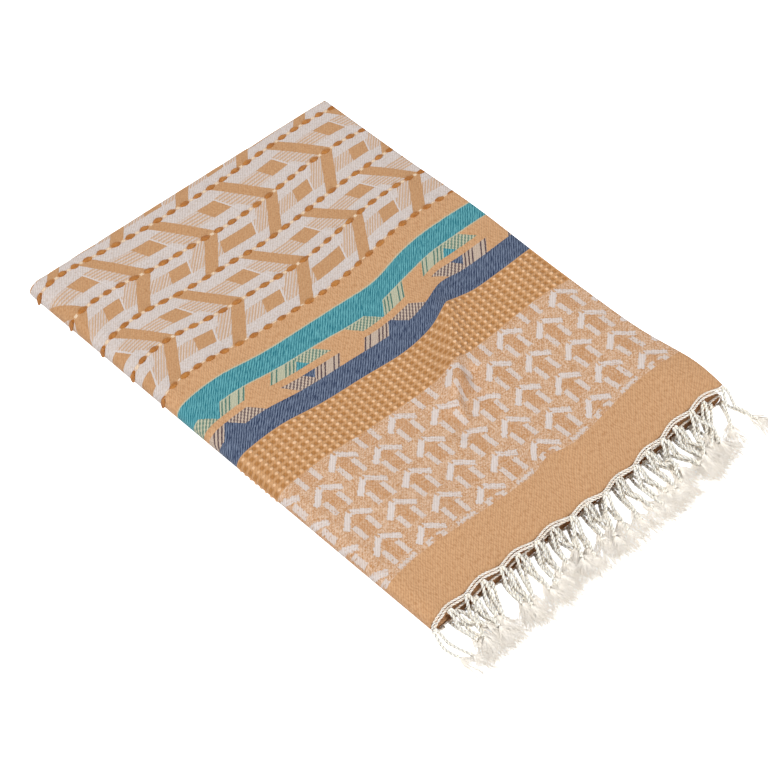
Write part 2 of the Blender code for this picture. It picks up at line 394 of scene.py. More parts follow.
def weft_bow(across, along):
    """How far the weft at this place lies off square, along the cloth."""
    off_middle = PATTERN_MIDDLE - across
    known, shift, *heights = WEFT.T
    bowed = np.interp(along, known, shift)
    for bow, height in zip(BOWS, heights):
        bowed = bowed + np.interp(along, known, height) * bell(off_middle - bow.middle, bow.width)
    crest = SWELL.middle + SWELL_LEAN * (along - SWELL_ALONG)
    swell = SWELL_HEIGHT * bell(along - SWELL_ALONG, SWELL_REACH)
    return bowed + swell * bell(off_middle - crest, SWELL.width)


def placed(across, along, off=SHEET / 2):
    """Where the folded towel holds points of its cloth, measured from its front left corner."""
    values = (np.asarray(value, float) for value in (across, along, off))
    across, along, off = np.broadcast_arrays(*values)
    along = along + weft_bow(across, along)
    place_y, level, normal_y, normal_level = ALONG.at(along)
    y = place_y + normal_y * off
    height = level + normal_level * off
    place_x, place_z, normal_x, normal_z = ACROSS.at(across)
    x = place_x + normal_x * height
    z = place_z + normal_z * height
    on_top = (across <= TOP_RUN_END) & (along <= HEM_LAYER_END)
    return settled(x, y, z, np.where(on_top, 1.0, 0.0))


def corner_in_frame():
    """Where the folded towel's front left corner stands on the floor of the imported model."""
    across, along = np.meshgrid(ACROSS.divisions, ALONG.divisions)
    own_low = placed(across, along).reshape(-1, 3).min(axis=0)
    low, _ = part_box("cloth")
    return np.array((low.x - own_low[0], low.y - own_low[1], 0.0))


CORNER = corner_in_frame()


# ---- Node trees and objects


class Value:
    """A socket that Python's arithmetic adds Math nodes to."""

    def __init__(self, graph, socket):
        self.graph = graph
        self.socket = socket

    def of(self, output):
        """Another output of the same node."""
        return Value(self.graph, self.socket.node.outputs[output])

    def math(self, operation, *others):
        return self.graph.math(operation, self, *others)

    __add__ = __radd__ = partialmethod(math, "ADD")
    __sub__ = partialmethod(math, "SUBTRACT")
    __mul__ = __rmul__ = partialmethod(math, "MULTIPLY")
    __truediv__ = partialmethod(math, "DIVIDE")
    __mod__ = partialmethod(math, "FLOORED_MODULO")
    __abs__ = partialmethod(math, "ABSOLUTE")
    __gt__ = partialmethod(math, "GREATER_THAN")
    __lt__ = partialmethod(math, "LESS_THAN")

    def __rsub__(self, other):
        return self.graph.math("SUBTRACT", other, self)

    def between(self, low, high):
        """1 from low to high, and 0 outside."""
        return self.math("COMPARE", (low + high) / 2, (high - low) / 2)

    def softly(self, low, high):
        """From 0 at low to 1 at high, easing in and out."""
        inputs = {"Value": self, "From Min": low, "From Max": high}
        return self.graph.node("ShaderNodeMapRange", inputs, interpolation_type="SMOOTHSTEP")

    def wave(self, pitch, shift=0.0):
        """A sine that repeats at this pitch."""
        return (self * (2 * pi / pitch) + shift).math("SINE")

    def off_middle(self, pitch):
        """How far a count of repeats of this pitch is from the middle of its repeat."""
        return abs(self % 1 - 0.5) * pitch


class Graph:
    """A node tree that nodes are added to one call at a time."""

    def __init__(self, tree):
        self.tree = tree

    def node(self, kind, inputs=None, output=0, **settings):
        """Add a node: its settings first, then the values or links of its sockets."""
        made = self.tree.nodes.new(kind)
        for name, value in settings.items():
            setattr(made, name, value)
        for key, value in (inputs or {}).items():
            for source in value if isinstance(value, list) else [value]:
                if isinstance(source, Value):
                    self.tree.links.new(source.socket, made.inputs[key])
                else:
                    made.inputs[key].default_value = source
        return Value(self, made.outputs[output]) if made.outputs else made

    def math(self, operation, *values):
        return self.node("ShaderNodeMath", dict(enumerate(values)), operation=operation)

    def vector(self, x=0.0, y=0.0, z=0.0):
        return self.node("ShaderNodeCombineXYZ", {"X": x, "Y": y, "Z": z})

    def split(self, vector):
        """A vector's X, with Y and Z as the node's other outputs."""
        return self.node("ShaderNodeSeparateXYZ", {0: vector})

    def scaled(self, vector, amount):
        """A vector or a colour times a number."""
        return self.node("ShaderNodeVectorMath", {0: vector, "Scale": amount}, operation="SCALE")

    def noise(self, place, scale, detail=2.0, roughness=0.5, output=0):
        inputs = {"Vector": place, "Scale": scale, "Detail": detail, "Roughness": roughness}
        return self.node("ShaderNodeTexNoise", inputs, output)

    def surface(self, inputs):
        """End a material in a surface with these inputs."""
        shader = self.node("ShaderNodeBsdfPrincipled", inputs)
        self.node("ShaderNodeOutputMaterial", {"Surface": shader})

    def cotton(self, colour, relief, strength, sheen=0.08, depth=0.0):
        """End a material in rough cotton, which light enters where a depth is given.

        The relief is in millimetres."""
        bump = {"Height": relief, "Distance": MM, "Strength": strength}
        self.surface({
            "Base Color": colour,
            "Roughness": 0.92,
            "Sheen Weight": sheen,
            "Specular IOR Level": 0.25,
            "Subsurface Weight": 1.0 if depth else 0.0,
            "Subsurface Radius": (1.0, 1.0, 1.0),
            "Subsurface Scale": depth or MM,
            "Normal": self.node("ShaderNodeBump", bump),
        })


def grain(x, y, detail=2.0, roughness=0.5, output=0):
    """Noise over a pair of coordinates."""
    return x.graph.noise(x.graph.vector(x, y), 1.0, detail, roughness, output)


def mix(share, first, second):
    """The first colour where share is 0, and the second where it is 1."""
    colours = {0: share, 6: first, 7: second}
    return share.graph.node("ShaderNodeMix", colours, 2, data_type="RGBA")


class GeometryTree(Graph):
    """A Geometry Nodes tree whose inputs are named sizes and a material."""

    def __init__(self, name, *sizes):
        super().__init__(bpy.data.node_groups.new(name, "GeometryNodeTree"))
        kinds = {"Geometry": "Geometry", "Fibres": "Int", "Material": "Material"}
        interface = self.tree.interface
        interface.new_socket("Geometry", in_out="OUTPUT", socket_type="NodeSocketGeometry")
        for size in ("Geometry", *sizes, "Material"):
            kind = "NodeSocket" + kinds.get(size, "Float")
            interface.new_socket(size, in_out="INPUT", socket_type=kind)
        self.group_input = self.node("NodeGroupInput")

    def size(self, name):
        return self.group_input.of(name)

    def attribute(self, name, kind="FLOAT_VECTOR"):
        return self.node("GeometryNodeInputNamedAttribute", {"Name": name}, data_type=kind)

    def random(self, low, high, seed):
        """A random number, or a random vector between two vectors."""
        kind, sockets, output = "FLOAT", (2, 3), 1
        if isinstance(low, tuple):
            kind, sockets, output = "FLOAT_VECTOR", (0, 1), 0
        inputs = {sockets[0]: low, sockets[1]: high, "Seed": seed}
        return self.node("FunctionNodeRandomValue", inputs, output, data_type=kind)

    def circle(self, resolution, radius):
        inputs = {"Resolution": resolution, "Radius": radius}
        return self.node("GeometryNodeCurvePrimitiveCircle", inputs)

    def arch(self, start, middle, end):
        inputs = {"Resolution": 5, "Start": start, "Middle": middle, "End": end}
        return self.node("GeometryNodeCurveQuadraticBezier", inputs)

    def joined(self, parts):
        return self.node("GeometryNodeJoinGeometry", {"Geometry": parts})

    def moved(self, geometry, **where):
        return self.node("GeometryNodeSetPosition", {"Geometry": geometry, **where})

    def swept(self, curve, section, caps=False, scale=1.0):
        """The surface that a section draws along a curve."""
        inputs = {"Curve": curve, "Profile Curve": section, "Scale": scale, "Fill Caps": caps}
        return self.node("GeometryNodeCurveToMesh", inputs)

    def facing(self, axes, first, second):
        """The turn that points the first of two axes one way, and the second towards another."""
        settings = {"primary_axis": axes[0], "secondary_axis": axes[1]}
        inputs = {"Primary Axis": first, "Secondary Axis": second}
        return self.node("FunctionNodeAxesToRotation", inputs, **settings)

    def copies(self, points, instance, turn, size):
        inputs = {"Points": points, "Instance": instance, "Rotation": turn, "Scale": size}
        return self.node("GeometryNodeInstanceOnPoints", inputs)

    def finish(self, geometry):
        """End the tree in Realize Instances, smooth shading and the material."""
        real = self.node("GeometryNodeRealizeInstances", {"Geometry": geometry})
        smooth = self.node("GeometryNodeSetShadeSmooth", {"Geometry": real})
        inputs = {"Geometry": smooth, "Material": self.size("Material")}
        self.node("NodeGroupOutput", {0: self.node("GeometryNodeSetMaterial", inputs)})
        return self.tree


def add_object(name, data):
    made = bpy.data.objects.new(name, data)
    bpy.context.scene.collection.objects.link(made)
    return made


def add_mesh_object(name, points, edges=(), faces=(), attributes=None):
    """An object of points that are measured from the towel's front left corner.

    Each attribute holds a number or a vector for every point."""
    mesh = bpy.data.meshes.new(name)
    mesh.from_pydata((np.asarray(points) + CORNER).tolist(), list(edges), list(faces))
    for key, values in (attributes or {}).items():
        values = np.asarray(values, np.float32)
        kind, field = ("FLOAT_VECTOR", "vector") if values.ndim == 2 else ("FLOAT", "value")
        mesh.attributes.new(key, kind, "POINT").data.foreach_set(field, values.ravel())
    return add_object(name, mesh)


def grown(source, tree, material, **sizes):
    """The plain mesh that a tree makes of an object, which it replaces."""
    modifier = source.modifiers.new(tree.name, "NODES")
    modifier.node_group = tree
    values = {"Material": material, **sizes}
    for item in tree.interface.items_tree:
        if item.in_out == "INPUT" and item.name in values:
            modifier[item.identifier] = values[item.name]
    depsgraph = bpy.context.evaluated_depsgraph_get()
    mesh = bpy.data.meshes.new_from_object(source.evaluated_get(depsgraph), depsgraph=depsgraph)
    name = source.name
    old = source.data
    bpy.data.objects.remove(source)
    bpy.data.meshes.remove(old)
    mesh.name = name
    return add_object(name, mesh)


# ---- Colours and weaves


def dyed(red, green, blue):
    """A yarn's colour, from how it looks on the screen in this scene's light."""
    screen = [channel / 255 for channel in (red, green, blue)]
    linear = [((channel + 0.055) / 1.055) ** 2.4 for channel in screen]
    return (*(channel / LIGHT for channel in linear), 1.0)


CARAMEL = dyed(208, 163, 121)
CARAMEL_DARK = dyed(184, 136, 93)
NATURAL = dyed(217, 206, 201)
TEAL = dyed(98, 168, 176)
TEAL_DARK = dyed(24, 110, 126)
NAVY = dyed(112, 125, 148)
NAVY_DARK = dyed(24, 43, 76)
PALE_TEAL = dyed(190, 188, 162)
DUSK_TEAL = dyed(80, 118, 106)
PALE_NAVY = dyed(200, 180, 162)
DUSK_NAVY = dyed(82, 64, 70)
FIELD_WHITE = dyed(210, 200, 196)
FIELD_WHITE_WORN = dyed(195, 179, 168)
FIELD_CARAMEL = dyed(200, 156, 114)
FIELD_CARAMEL_DARK = dyed(176, 128, 85)
HALF_TONE = dyed(196, 158, 124)
CREAM = dyed(226, 202, 174)
BEAD_CREAM = dyed(236, 196, 156)
BEAD_CREAM_DARK = dyed(220, 176, 132)
AMBER = dyed(190, 128, 60)
AMBER_DARK = dyed(168, 104, 42)
ARROW_GROUND = dyed(186, 136, 90)
ARROW_GROUND_PALE = dyed(219, 188, 162)
ARROW_HEART = dyed(188, 134, 84)
LEG_WHITE = dyed(212, 197, 188)
WAFFLE_GROUND = dyed(200, 151, 104)
# Painted shade: the darker colour given to the waffle's recessed pits
WAFFLE_PIT_SHADE = dyed(174, 120, 66)
WAFFLE_RIB = dyed(206, 158, 112)
FLOOR_WHITE = (0.88, 0.88, 0.88, 1.0)
YARN = ((0.98, 0.90, 0.79, 1.0), (0.95, 0.84, 0.70, 1.0))
FIBRE = ((0.98, 0.93, 0.86, 1.0), (0.96, 0.90, 0.81, 1.0))
# Painted shade: the hem yarns are the cords' natural yarn, darkened and warmed as it looks in the shade
# along the hem
HEM_YARN_PAINTED_SHADE = ((0.94, 0.85, 0.75, 1.0), (0.82, 0.68, 0.56, 1.0))


def new_material(name):
    material = bpy.data.materials.new(name)
    material.use_nodes = True
    material.node_tree.nodes.clear()
    return material, Graph(material.node_tree)


def woven(name, pattern):
    """A band of the cloth. Its pattern gives the colour, and the height of the floats in millimetres."""
    material, graph = new_material(name)
    threads = graph.split(graph.node("ShaderNodeUVMap", uv_map="threads"))
    u = threads * 1000
    v = threads.of("Y") * 1000
    slub = grain(u * 0.10, v * 1.1, 3.0, 0.65)
    speck = grain(u * 1.1, v * 1.1, 2.0, 0.6)
    twill = (u - v).wave(TWILL_PITCH, (speck - 0.5) * 1.5)
    streak = grain((u - v) * 1.9, (u + v) * 0.10, 3.0, 0.7) + twill * 0.06
    colour, floats = pattern(u, v, streak)
    tone = 0.83 + slub * 0.12 + speck * 0.10 + twill * 0.075 + streak * 0.10
    relief = twill * 0.07 + speck * 0.10 + slub * 0.10 + floats
    graph.cotton(graph.scaled(colour, tone), relief, 0.8)
    return material


def make_yarn_material(name, light, shade, sheen=0.25, depth=0.0):
    """Cotton yarn with fine fibres."""
    material, graph = new_material(name)
    place = graph.node("ShaderNodeTexCoord", output="Object")
    cloud = graph.noise(place, 260.0, 3.0, 0.6)
    hair = graph.noise(place, 1500.0, 2.0, 0.6)
    colour = graph.scaled(mix(cloud.softly(0.3, 0.7), light, shade), 0.93 + hair * 0.12)
    graph.cotton(colour, hair * 0.12 + cloud * 0.10, 0.7, sheen, depth)
    return material


def frayed(u, v, amount):
    """Both pattern coordinates, shaken by the unevenness of the yarns."""
    shake = u.graph.split(grain(u * 0.55, v * 0.55, output="Color"))
    return u + (shake - 0.5) * amount, v + (shake.of("Y") - 0.5) * amount


def plain_caramel(u, v):
    return mix(grain(u * 0.9, v * 0.3).softly(0.35, 0.75), CARAMEL, CARAMEL_DARK)


def hem_weave(u, v, streak):
    """Plain caramel twill."""
    return plain_caramel(u, v), 0.0


def arrow_weave(u, v, streak):
    """Columns of arrow heads with two legs each, every second column half a step higher."""
    u, v = (value.math("SNAP", 0.7) for value in frayed(u, v, 2.6))
    column = (u + ARROW_START + ARROW_PITCH / 2) / ARROW_PITCH
    odd = column.math("FLOOR") % 2
    aside = column.off_middle(ARROW_PITCH)
    below = (ARROW_TOP + odd * (ARROW_STEP / 2) - v) % ARROW_STEP
    fleck = grain(u * 0.72, v * 0.72, 2.0, 0.75)
    above_hem = v > ARROW_FOOT - odd * 5.5
    right = column % 1 > 0.5
    notch = (aside < 1.0) * (below < 4.5)
    breaks = right * ((u + v).wave(3.1) > 0.4) * fleck.softly(0.62, 0.42)
    under_edge = below - aside * 0.84
    arm = under_edge.between(0.0, 6.0) * (aside + under_edge * 0.4 < 13.8) * (1 - notch) * above_hem
    arm = arm * (1 - breaks * 0.5)
    legs = aside.between(4.8, 9.0) * below.between(14.4, 27.6) * above_hem
    foot = (v + (u % 3.4) * 0.5).between(44.6, 47.4) * (aside < 9) * (1 - odd)
    dots = (v % 5.1 < 1.8) * (v < 48) * (aside < 6) * (aside > 1.8) * odd
    pale_parts = legs.math("MAXIMUM", foot.math("MAXIMUM", dots)) * fleck.softly(0.30, 0.44)
    cloud = grain(u * 0.16, v * 0.16, 2.0, 0.6)
    pale = (fleck * 0.8 + cloud * 0.2).softly(0.38, 0.62)
    ground = mix(pale, ARROW_GROUND, ARROW_GROUND_PALE)
    heart = (aside < 4.4) * below.between(8.0, 26.0) * (1 - pale * 0.5)
    ground = mix(heart * 0.55, ground, ARROW_HEART)
    worn = mix(fleck.softly(0.30, 0.60), LEG_WHITE, NATURAL)
    colour = mix(pale_parts, ground, LEG_WHITE)
    return mix(arm, colour, worn), (arm + pale_parts * 0.6) * 0.30


def waffle_weave(u, v, streak):
    """Recessed squares between ribs, every second rib brighter; the squares are darkened by painted shade.
    """
    across = (u / RIB_PITCH).off_middle(RIB_PITCH)
    along = ((v - ARROWS_TOP) / PIT_PITCH).off_middle(PIT_PITCH)
    pit = (1 - across.softly(0.8, 2.2)) * (1 - along.softly(0.9, 2.1))
    rib = across.softly(2.2, 3.1)
    bright = rib * (((u + RIB_PITCH / 2) / RIB_PITCH).math("FLOOR") % 2 * 0.6 + 0.3)
    ground = mix(bright, WAFFLE_GROUND, WAFFLE_RIB)
    # The pits get painted shade in their colour and sink in the relief
    return mix(pit, ground, WAFFLE_PIT_SHADE), rib * 0.35 - pit * 0.7


def tooth_row(u, depth, light, dusk, mirrored):
    """A row of teeth hanging from its coloured band, with hatched wings; depth grows from that band.

    Gives where the teeth are solid, where their wings are, and the wings' colour."""
    standing = (u - TOOTH_START + TOOTH_PITCH / 2) % TOOTH_PITCH - TOOTH_PITCH / 2
    hanging = (u - TOOTH_START) % TOOTH_PITCH - TOOTH_PITCH / 2
    down = abs(hanging) + depth * TOOTH_SLOPE - 10.3
    up = abs(standing) - depth * TOOTH_SLOPE + 3.35
    solid = (down < 0).math("MAXIMUM", up < 0)
    lined_down = hanging > 0
    lined_up = standing < 0
    if mirrored:
        lined_down = 1 - lined_down
        lined_up = 1 - lined_up
    nearest_up = up < 24.0
    edge = down + (up - down) * nearest_up
    lined = lined_down + (lined_up - lined_down) * nearest_up
    near = edge < 20.0 + lined * 3.6
    bars = sum(edge.between(bar, bar + BAR_WIDTH) for bar in TOOTH_BARS)
    speckled = grain(u * 1.4, depth * 1.4) > 0.5
    slant = u + depth * (1.0 - 2.0 * mirrored)
    zigzag = slant.wave(3.4, (depth * 3.1).math("SINE") * 0.5) > -0.1
    lines = lined * (bars + speckled * 0.25) + (1 - lined) * zigzag * 0.85
    return solid, near, mix(lines, light, dusk)


def tooth_weave(u, v, streak):
    """The navy band below, the teal band above, and a row of teeth on each, facing the other."""
    u, v = frayed(u, v, 0.8)
    light = streak.softly(0.42, 0.58)
    teal = mix(light, TEAL_DARK, TEAL)
    navy = mix(light, NAVY_DARK, NAVY)
    teal_foot, teal_top = TEAL_BAND
    navy_foot, navy_top = NAVY_BAND
    teal_solid, teal_wing, teal_hatch = tooth_row(u, teal_foot - v, PALE_TEAL, DUSK_TEAL, False)
    navy_solid, navy_wing, navy_hatch = tooth_row(u, v - navy_top, PALE_NAVY, DUSK_NAVY, True)
    teal_row = v.between(TEAL_TEETH_FOOT, teal_foot)
    navy_row = v.between(navy_top, NAVY_TEETH_TOP)
    colour = plain_caramel(u, v)
    colour = mix(teal_row * teal_wing, colour, teal_hatch)
    colour = mix(navy_row * navy_wing, colour, navy_hatch)
    colour = mix(v.between(teal_foot, teal_top) + teal_row * teal_solid, colour, teal)
    colour = mix(v.between(navy_foot, navy_top) + navy_row * navy_solid, colour, navy)
    thin_lines = v.between(251.8, 252.9) + v.between(233.6, 234.6) * (1 - teal_solid)
    return mix(thin_lines * 0.7, colour, PALE_TEAL), 0.0


def chevron_weave(u, v, streak):
    """Caramel chevrons on white, with a lozenge in each cell and dashed lines between the rows."""
    u, v = frayed(u, v, 0.9)
    row = (v - CHEVRONS_FOOT) / DASHED_PITCH
    pair = (row / 2).math("FLOOR")
    half = row - pair * 2
    lean = 1 - abs(half - 1)
    lower = half < 1
    stagger = (pair % 2) * (CHEVRON_PITCH / 2)
    offset = u - CHEVRON_START - stagger - lean * CHEVRON_LEAN + ARM_WIDTH / 2
    column = (offset / CHEVRON_PITCH).math("FLOOR")
    cell_at = offset - column * CHEVRON_PITCH - ARM_WIDTH / 2
    arm = cell_at < ARM_WIDTH / 2
    fall = 1 - lean
    central = fall.between(0.31, 0.67)
    slid = cell_at + (0.5 - fall) * 10.5 - 2.5
    long = ((column + pair) % 3 < 0.5) * lower
    lozenge = slid.between(21.5, 38.5).math("MAXIMUM", slid.between(7.5, 38.5) * long) * central
    rim = slid.between(38.5, 40.0)
    streaks = v.wave(2.6, streak * 4).softly(-0.4, 0.6)
    slants = (u - v).wave(3.0, streak * 3).softly(-0.4, 0.6)
    fleck = grain(u * 0.6, v * 0.6, 2.0, 0.7)
    tone = (streaks + (slants - streaks) * lower) * (fleck * 1.1 + 0.3)
    band = (cell_at > 44.0) * (fall < 0.70)
    half_tone = (central * (1 - lozenge)).math("MAXIMUM", band) * (tone * 0.9 + 0.15)
    white = mix(fleck.softly(0.3, 0.6), FIELD_WHITE_WORN, FIELD_WHITE)
    shade = (fleck * 0.5 + streak * 0.5).softly(0.38, 0.66)
    caramel = mix(shade, FIELD_CARAMEL, FIELD_CARAMEL_DARK)
    colour = mix(half_tone, white, HALF_TONE)
    colour = mix(rim * (fall < 0.75), colour, FIELD_WHITE)
    solid = arm.math("MAXIMUM", lozenge)
    colour = mix(solid, colour, caramel)
    on_line = (row + 0.5).off_middle(DASHED_PITCH)
    dash_at = ((u - DASH_START) / DASH_PITCH + 0.5).off_middle(DASH_PITCH)
    dash = (dash_at * dash_at / 17.0 + on_line * on_line / 5.3) < 1
    colour = mix((on_line < 1.5) * 0.55, colour, FIELD_CARAMEL)
    colour = mix((on_line < 1.1) * (dash_at > 5.2), colour, CREAM)
    colour = mix(dash, colour, AMBER_DARK)
    colour = mix(v > MIDDLE_BAND_FOOT, colour, caramel)
    return colour, (1 - solid) * 0.14 + dash * 0.3


# ---- The cloth


def row_divisions():
    """Distances from the upper hem at which the cloth's mesh is divided, on every band's edges."""
    edges = [edge * MM for edge in BAND_EDGES] + [HEM_LAYER_END]
    rows = [0.0]
    for near, far in zip(edges, edges[1:]):
        count = round((far - near) / CELL)
        rows += [near + (far - near) * (cell + 1) / count for cell in range(count)]
    far_edges = [ALONG.length - edge for edge in edges[1:-1]]
    rows += [*ALONG.divisions[1:], *far_edges]
    return np.unique(np.round(rows, 6))


def from_hem(along):
    """The distance from the nearer hem."""
    return np.minimum(along, ALONG.length - along)


def band_at(along):
    """The number of the woven band at each distance from the upper hem."""
    return np.searchsorted(np.array(BAND_EDGES[1:]) * MM, from_hem(along))


def drawn_in(aside, away):
    """How far the pattern is drawn in at a distance from its middle line and from the hem."""
    farther = smooth_step((away - FARTHER_BEGIN) / FARTHER_FADE)
    near_hem = DRAWN_SHIFT - DRAWN_CURVE * np.clip(aside, *DRAWN_SIDES) ** 2
    left_side = FARTHER_SHIFT * smooth_step((FARTHER_SIDE - aside) / FARTHER_WIDTH)
    return near_hem * (1 - farther) + left_side * farther


def pattern_across(across, away):
    """Where a warp thread stands in the pattern."""
    aside = PATTERN_MIDDLE - across
    return aside + drawn_in(aside, away)


def warp_thread_at(pattern_place, away):
    """The distance across the cloth of a place in the pattern."""
    aside = pattern_place
    for _ in range(4):
        aside = pattern_place - drawn_in(aside, away)
    return PATTERN_MIDDLE - aside


def make_cloth(materials):
    """One closed plate: its outer face, its inner face, and a round edge between them."""
    columns = np.array(ACROSS.divisions)
    rows = row_divisions()
    across, along = np.meshgrid(columns, rows)
    outer = placed(across, along, SHEET / 2).reshape(-1, 3)
    inner = placed(across, along, -SHEET / 2).reshape(-1, 3)
    count = len(outer)
    index = np.arange(count).reshape(len(rows), len(columns))
    rim = np.concatenate((index[0, :-1], index[:-1, -1], index[-1, :0:-1], index[:0:-1, 0]))
    rim_across = across.ravel()[rim]
    rim_along = along.ravel()[rim]
    bulge = SHEET * 0.4
    edge = placed(
        rim_across + bulge * ((rim_across == columns[-1]) * 1.0 - (rim_across == columns[0])),
        rim_along + bulge * ((rim_along == rows[-1]) * 1.0 - (rim_along == rows[0])),
        0.0,
    )
    quads = np.stack((index[:-1, :-1], index[1:, :-1], index[1:, 1:], index[:-1, 1:]), axis=-1)
    quads = quads.reshape(-1, 4)
    edge_index = 2 * count + np.arange(len(rim))
    after = np.roll(np.arange(len(rim)), -1)
    upper_edge = np.stack((rim, rim[after], edge_index[after], edge_index), axis=-1)
    lower_edge = np.stack((edge_index, edge_index[after], rim[after] + count, rim + count), axis=-1)
    faces = np.concatenate((quads, quads[:, ::-1] + count, upper_edge, lower_edge))
    points = np.concatenate((outer, inner, edge))
    cloth = add_mesh_object("woven_cloth", points, faces=faces.tolist())
    mesh = cloth.data
    for material in materials:
        mesh.materials.append(material)
    face_bands = np.repeat(band_at((rows[:-1] + rows[1:]) / 2), len(columns) - 1)
    rim_bands = band_at(rim_along)
    bands = np.concatenate((face_bands, face_bands, rim_bands, rim_bands))
    mesh.polygons.foreach_set("material_index", bands)
    threads_across = np.concatenate((across.ravel(), across.ravel(), rim_across))
    away = from_hem(np.concatenate((along.ravel(), along.ravel(), rim_along)))
    threads = np.stack((pattern_across(threads_across, away), away), axis=-1)
    corners = np.empty(len(mesh.loops), np.int32)
    mesh.loops.foreach_get("vertex_index", corners)
    mesh.uv_layers.new(name="threads").data.foreach_set("uv", threads[corners].ravel())
    mesh.polygons.foreach_set("use_smooth", np.ones(len(mesh.polygons), bool))
    mesh.update()
    return cloth


def unit(vectors):
    return vectors / np.linalg.norm(vectors, axis=1)[:, None]


def sown(name, columns, rows, tree, material, **sizes):
    """What a tree grows on the cloth's outer face where a repeat's columns and rows cross.

    They are in millimetres. Only the top run and the left fold are sown."""
    pattern_place, away = (grid.ravel() * MM for grid in np.meshgrid(columns, rows))
    across = warp_thread_at(pattern_place, away)
    selvedge_margin, fold_margin = SOWN_MARGINS
    seen = (across > selvedge_margin) & (across < LEFT_FOLD_END - fold_margin)
    across, away = across[seen], away[seen]
    points = placed(across, away)
    directions = {
        "weft": unit(placed(across - NUDGE, away) - placed(across + NUDGE, away)),
        "outward": unit(placed(across, away, SHEET / 2 + NUDGE) - points),
    }
    source = add_mesh_object(name, points, attributes=directions)
    return grown(source, tree, material, **sizes)


def make_dashes(material):
    """The dark floats of the dashed lines, each a few yarns that arch over the cloth side by side."""
    tree = GeometryTree("dash_floats", "Length", "Rise", "Thickness")
    yarns = []
    for place in (-2, -1, 0, 1, 2):
        reach = 1 - 0.10 * place * place
        aside = place * 0.84 * MM
        half = tree.size("Length") * (reach / 2)
        start = tree.vector(half * -1, aside, -0.0003)
        middle = tree.vector(0.0, aside, tree.size("Rise") * 2 * reach)
        yarns.append(tree.arch(start, middle, tree.vector(half, aside, -0.0003)))
    dash = tree.swept(tree.joined(yarns), tree.circle(5, tree.size("Thickness")), caps=True)
    turn = tree.facing("ZX", tree.attribute("outward"), tree.attribute("weft"))
    size = tree.random((0.80, 0.80, 0.7), (1.12, 1.08, 1.2), 3)
    finished = tree.finish(tree.copies(tree.group_input, dash, turn, size))
    columns = np.arange(-30, 60) * DASH_PITCH + DASH_START
    rows = CHEVRONS_FOOT + np.arange(5) * DASHED_PITCH
    sizes = {"Length": 8.4 * MM, "Rise": 0.72 * MM, "Thickness": 0.58 * MM}
    return sown("weft_dashes", columns, rows, finished, material, **sizes)


def make_beads(material):
    """The raised cream points on the waffle's ribs."""
    tree = GeometryTree("waffle_beads", "Size")
    bead = tree.node("GeometryNodeMeshIcoSphere", {"Radius": 1.0, "Subdivisions": 2})
    turn = tree.facing("ZX", tree.attribute("outward"), tree.attribute("weft"))
    stretch = tree.random((0.8, 0.75, 0.45), (1.2, 1.0, 0.6), 5)
    size = tree.scaled(stretch, tree.size("Size"))
    finished = tree.finish(tree.copies(tree.group_input, bead, turn, size))
    columns = np.arange(-22, 23) * RIB_PITCH
    rows = ARROWS_TOP + (np.arange(8) + 0.5) * PIT_PITCH
    return sown("waffle_beads", columns, rows, finished, material, Size=1.36 * MM)


# ---- The fringe


class Bed:
    """Heights of what already lies in front of the hem, on a fine grid over the floor."""

    CELL = 0.0005

    def __init__(self):
        self.low = np.array((-0.045, -0.090))
        self.heights = np.zeros((780, 220))

    def discs(self, points, radius):
        """Grid cells within a radius of each point, and how far each cell is from it."""
        reach = int(radius / self.CELL) + 1
        steps = np.arange(-reach, reach + 1)
        step_x, step_y = (grid.ravel() for grid in np.meshgrid(steps, steps))
        near = np.hypot(step_x, step_y) * self.CELL <= radius
        middle = np.round((points[:, :2] - self.low) / self.CELL).astype(int)
        cell_x = np.clip(middle[:, :1] + step_x[near], 0, self.heights.shape[0] - 1)
        cell_y = np.clip(middle[:, 1:2] + step_y[near], 0, self.heights.shape[1] - 1)
        return cell_x, cell_y, np.hypot(step_x, step_y)[near] * self.CELL

    def rest(self, points, radius):
        """Heights at which a cord's middle rests here."""
        cell_x, cell_y, away = self.discs(points, radius)
        tops = self.heights[cell_x, cell_y] + np.sqrt(radius * radius - away * away)
        return np.max(tops, axis=1)

    def cover(self, points, radius):
        cell_x, cell_y, away = self.discs(points, radius)
        tops = points[:, 2:3] + np.sqrt(radius * radius - away * away)
        np.maximum.at(self.heights, (cell_x, cell_y), tops)


def laid_route(bed, start, heading, bend, length, radius):
    """A cord's middle line from its knot at the hem down onto what lies in front of it, and on."""
    share = np.linspace(0.0, 1.0, 26)
    turned = heading + bend * share
    step = length / (len(share) - 1)
    x = start[0] + np.concatenate(([0.0], np.cumsum(np.sin(turned[1:]) * step)))
    y = start[1] - np.concatenate(([0.0], np.cumsum(np.cos(turned[1:]) * step)))
    points = np.stack((x, y, np.zeros_like(x)), axis=1)
    rest = bed.rest(points, radius)
    for _ in range(3):
        padded = np.pad(rest, 1, mode="edge")
        rest = np.maximum(rest, (padded[:-2] + padded[2:]) / 2 - 0.0001)
    fall = 1 - smooth_step((share * length - 0.001) / CORD_FALL)
    points[:, 2] = np.maximum(rest, start[2] * fall)
    points[0, 2] = start[2]
    bed.cover(points, radius)
    return points


def hem_knots():
    """Each knot of the fringe, the lowest first: its hem, its distance across and its point."""
    knots = []
    for hem, first, along in (
        ("upper", FIRST_KNOT, -KNOT_REACH),
        ("under", FIRST_UNDER_KNOT, ALONG.length + KNOT_REACH),
    ):
        across = np.arange(first, ACROSS.length, KNOT_PITCH)
        for place, point in zip(across, placed(across, along, 0.0)):
            point[2] = max(point[2], KNOT_SIZE / 2)
            knots.append(Knot(hem, place, point))
    return sorted(knots, key=lambda knot: knot.point[2])


def run_at(across):
    """The run that holds a place across the cloth; run 1 is the bottom one."""
    if across <= LEFT_FOLD_END:
        return 3
    return 1 if across <= ACROSS.ends[4] else 2


